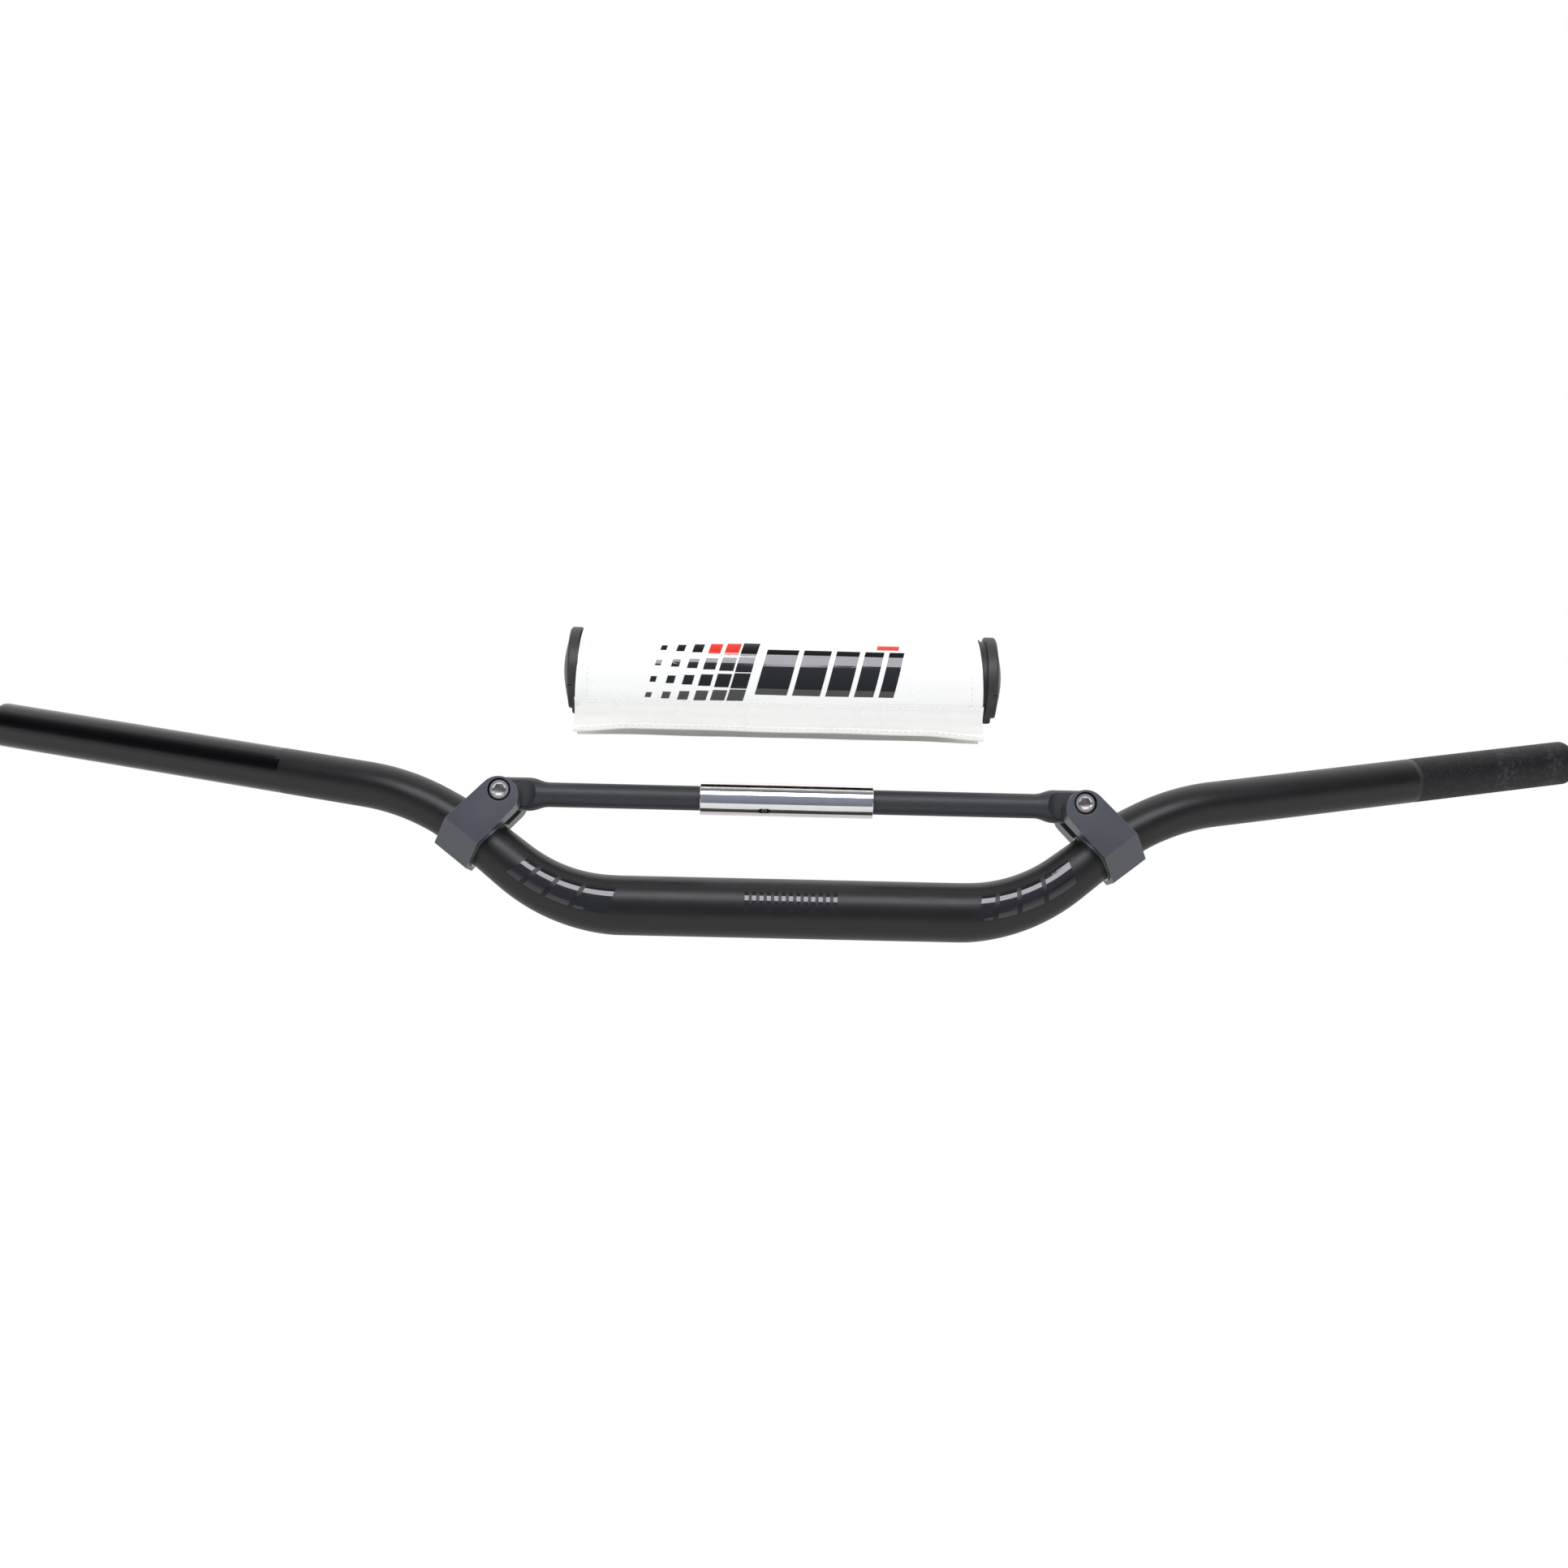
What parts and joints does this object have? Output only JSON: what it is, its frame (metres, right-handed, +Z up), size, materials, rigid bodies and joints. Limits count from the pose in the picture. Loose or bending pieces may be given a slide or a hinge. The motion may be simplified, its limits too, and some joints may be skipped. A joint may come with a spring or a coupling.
{
  "type": "motorcycle handlebar",
  "caption": "Tapered motorcycle handlebar with a clamped telescoping crossbar and a slip-on crossbar pad with closing flaps.",
  "frame": {"origin": "under the middle of the bar, on the tube's lowest flat, where it rests in the stem's saddle", "axes": "+X to the rider's left (the knurled end), +Y back to the rider, +Z up"},
  "size_m": [0.813, 0.0844, 0.1494],
  "materials": {
    "black_anodised": "bead-blasted, black anodised, satin; smooth and glossy at the throttle end, knurled at the other",
    "clamp_anodised": "bead-blasted, dark grey anodised, satin",
    "shim_aluminium": "plain, drawn",
    "rod_anodised": "turned, dark anodised, satin",
    "polished_aluminium": "polished",
    "steel": "zinc plated",
    "bearing_plastic": "moulded",
    "buffer_rubber": "moulded",
    "white_vinyl": "coated vinyl cloth, glossy",
    "pad_foam": "closed-cell foam",
    "cap_rubber": "moulded, matt",
    "hook_and_loop": "napped"
  },
  "bodies": {
    "bar": {"bar_tube": "black_anodised", "bar_clamp_left": "clamp_anodised", "bar_clamp_right": "clamp_anodised", "clamp_shim_left": "shim_aluminium", "clamp_shim_right": "shim_aluminium", "pivot_bolt_left": "steel", "pivot_bolt_right": "steel", "pivot_bushing_left": "steel", "pivot_bushing_right": "steel"},
    "rod_left": {"crossbar_rod_left": "rod_anodised", "retaining_pin_left": "steel"},
    "sleeve": {"crossbar_sleeve": "polished_aluminium", "sleeve_bush_left": "bearing_plastic", "sleeve_bush_right": "bearing_plastic", "sleeve_spacer": "polished_aluminium", "rubber_buffer_left": "buffer_rubber", "rubber_buffer_right": "buffer_rubber"},
    "rod_right": {"crossbar_rod_right": "rod_anodised", "retaining_pin_right": "steel"},
    "pad": {"pad_foam": "pad_foam", "pad_cover": "white_vinyl", "pad_end_cap_left": "cap_rubber", "pad_end_cap_right": "cap_rubber"},
    "flap_front": {"pad_flap_front": "white_vinyl", "hook_strip": "hook_and_loop"},
    "flap_rear": {"pad_flap_rear": "white_vinyl", "loop_strip": "hook_and_loop"}
  },
  "joints": [
    {"name": "crossbar_pivot", "type": "hinge", "parent": "bar", "child": "rod_left", "pos_m": [-0.139, 0, 0.06668], "axis": [0, 1, 0], "range_deg": [-0.25, 0.25]},
    {"name": "sleeve_stroke", "type": "slide", "parent": "rod_left", "child": "sleeve", "axis": [1, 0, 0], "range_m": [-0.001, 0.001], "stiffness_N_per_m": 4000, "deforming": ["rubber_buffer_left"]},
    {"name": "right_rod_stroke", "type": "slide", "parent": "sleeve", "child": "rod_right", "axis": [1, 0, 0], "range_m": [-0.001, 0.001], "stiffness_N_per_m": 4000, "deforming": ["rubber_buffer_right"]},
    {"name": "pad_fit", "type": "slide", "parent": "bar", "child": "pad", "axis": [0, 0, -1], "range_m": [0, 0.061]},
    {"name": "front_flap_close", "type": "hinge", "parent": "pad", "child": "flap_front", "pos_m": [-0.006, -0.0093, 0.10748], "axis": [1, 0, 0], "range_deg": [0, 75]},
    {"name": "rear_flap_close", "type": "hinge", "parent": "pad", "child": "flap_rear", "pos_m": [-0.006, 0.0086, 0.10788], "axis": [-1, 0, 0], "range_deg": [0, 88]}
  ],
  "couplings": [
    {"joint": "right_rod_stroke", "follows": "sleeve_stroke", "ratio": 1}
  ]
}
